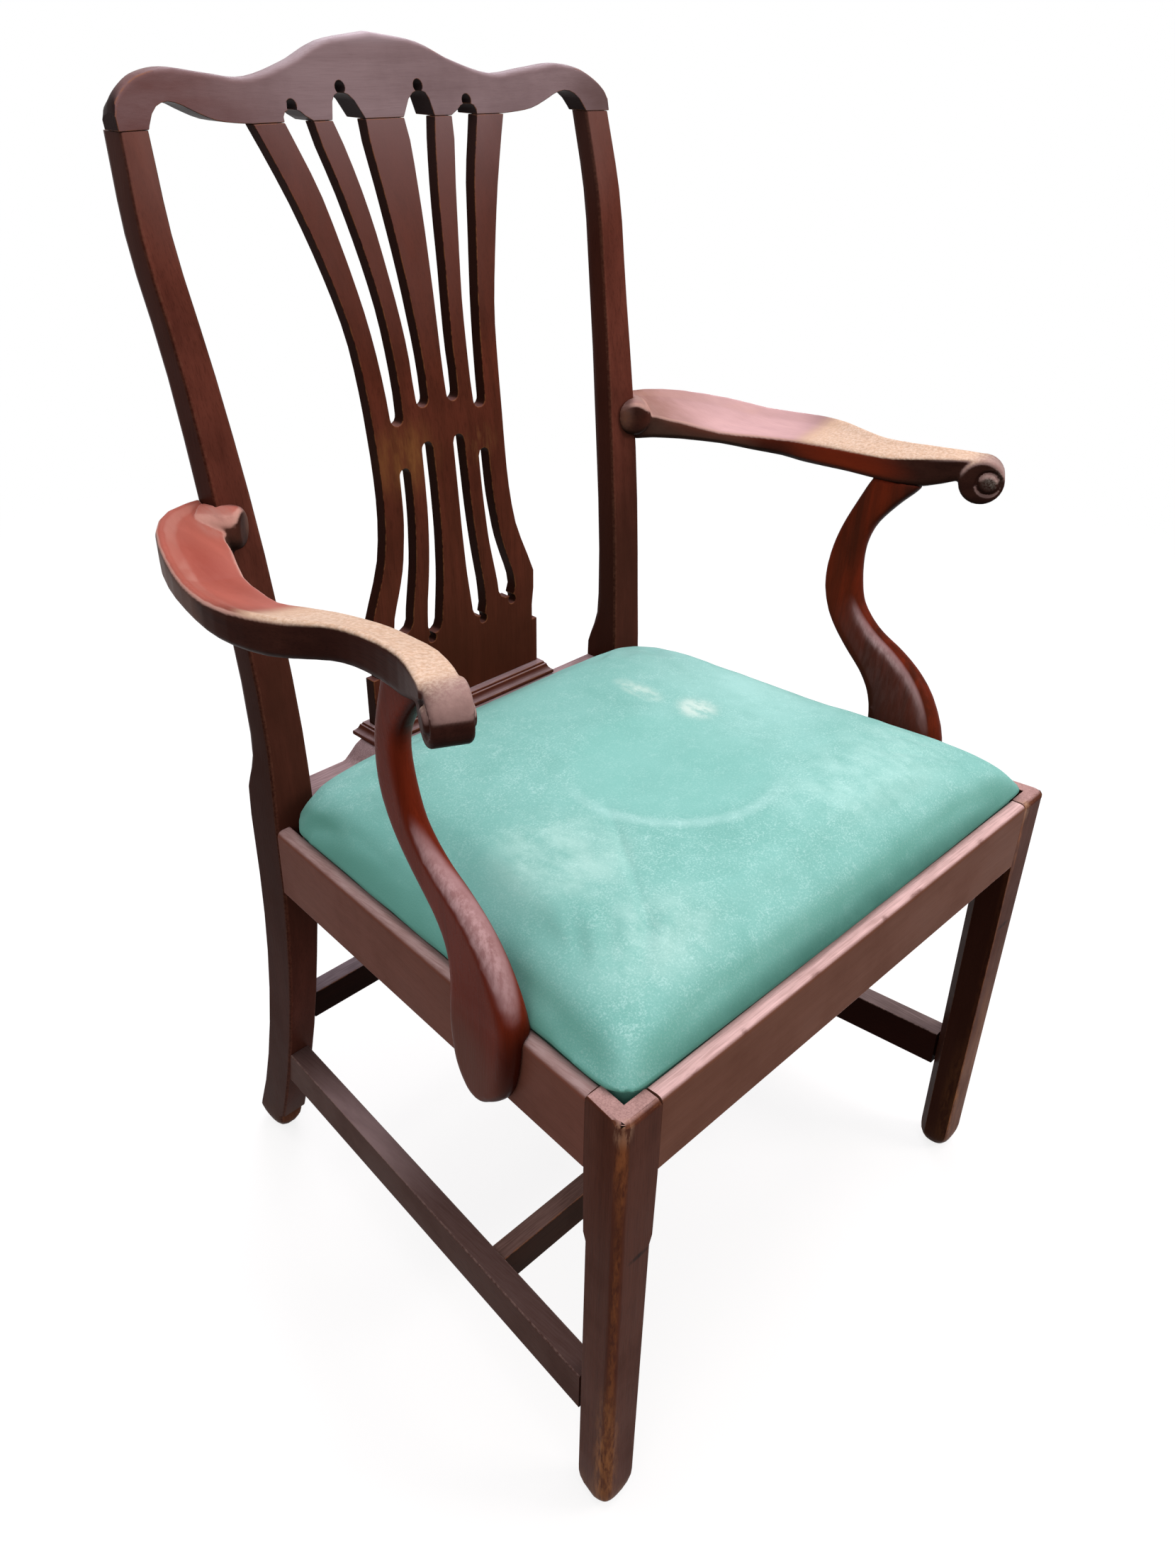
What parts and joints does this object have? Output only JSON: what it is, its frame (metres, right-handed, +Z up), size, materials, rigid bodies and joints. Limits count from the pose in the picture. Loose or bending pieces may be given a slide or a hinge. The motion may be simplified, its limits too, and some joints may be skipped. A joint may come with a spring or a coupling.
{
  "type": "armchair",
  "caption": "Wooden armchair with a pierced splat back, open scrolled arms on curved supports, square legs joined by stretchers and a padded seat that lifts out.",
  "frame": {"origin": "on the floor under the middle of the chair's box", "axes": "+Z up, the chair faces -Y, +X to its right seen from the front"},
  "size_m": [0.6378, 0.553, 0.9805],
  "materials": {
    "mahogany": "dark red-brown polish, semi-gloss",
    "worn_mahogany": "dark polish rubbed to tan on top",
    "beech": "unpolished pale wood",
    "webbing": "woven linen strip",
    "hessian": "coarse open weave",
    "stuffing": "curled hair",
    "green_cloth": "short pile, rubbed in patches",
    "steel": "dull screw steel"
  },
  "bodies": {
    "frame": {"arm_left": "worn_mahogany", "arm_right": "worn_mahogany", "arm_screw_left": "steel", "arm_screw_right": "steel", "arm_support_left": "mahogany", "arm_support_right": "mahogany", "back_post_left": "mahogany", "back_post_right": "mahogany", "back_rail": "mahogany", "back_stretcher": "mahogany", "corner_block_back_left": "beech", "corner_block_back_right": "beech", "corner_block_front_left": "beech", "corner_block_front_right": "beech", "crest_rail": "mahogany", "cross_stretcher": "mahogany", "front_leg_left": "mahogany", "front_leg_right": "mahogany", "front_rail": "mahogany", "shoe": "mahogany", "side_rail_left": "mahogany", "side_rail_right": "mahogany", "side_stretcher_left": "mahogany", "side_stretcher_right": "mahogany", "splat": "mahogany", "support_screw_left_back": "steel", "support_screw_left_front": "steel", "support_screw_right_back": "steel", "support_screw_right_front": "steel"},
    "drop_in_seat": {"hessian": "hessian", "seat_bar_back": "beech", "seat_bar_front": "beech", "seat_bar_left": "beech", "seat_bar_right": "beech", "seat_cover": "green_cloth", "seat_pad": "stuffing", "webbing_cross_back": "webbing", "webbing_cross_front": "webbing", "webbing_cross_middle": "webbing", "webbing_long_left": "webbing", "webbing_long_middle": "webbing", "webbing_long_right": "webbing"}
  },
  "joints": [
    {"name": "seat_lift", "type": "slide", "parent": "frame", "child": "drop_in_seat", "axis": [0, 0, 1], "range_m": [0, 0.12]}
  ]
}
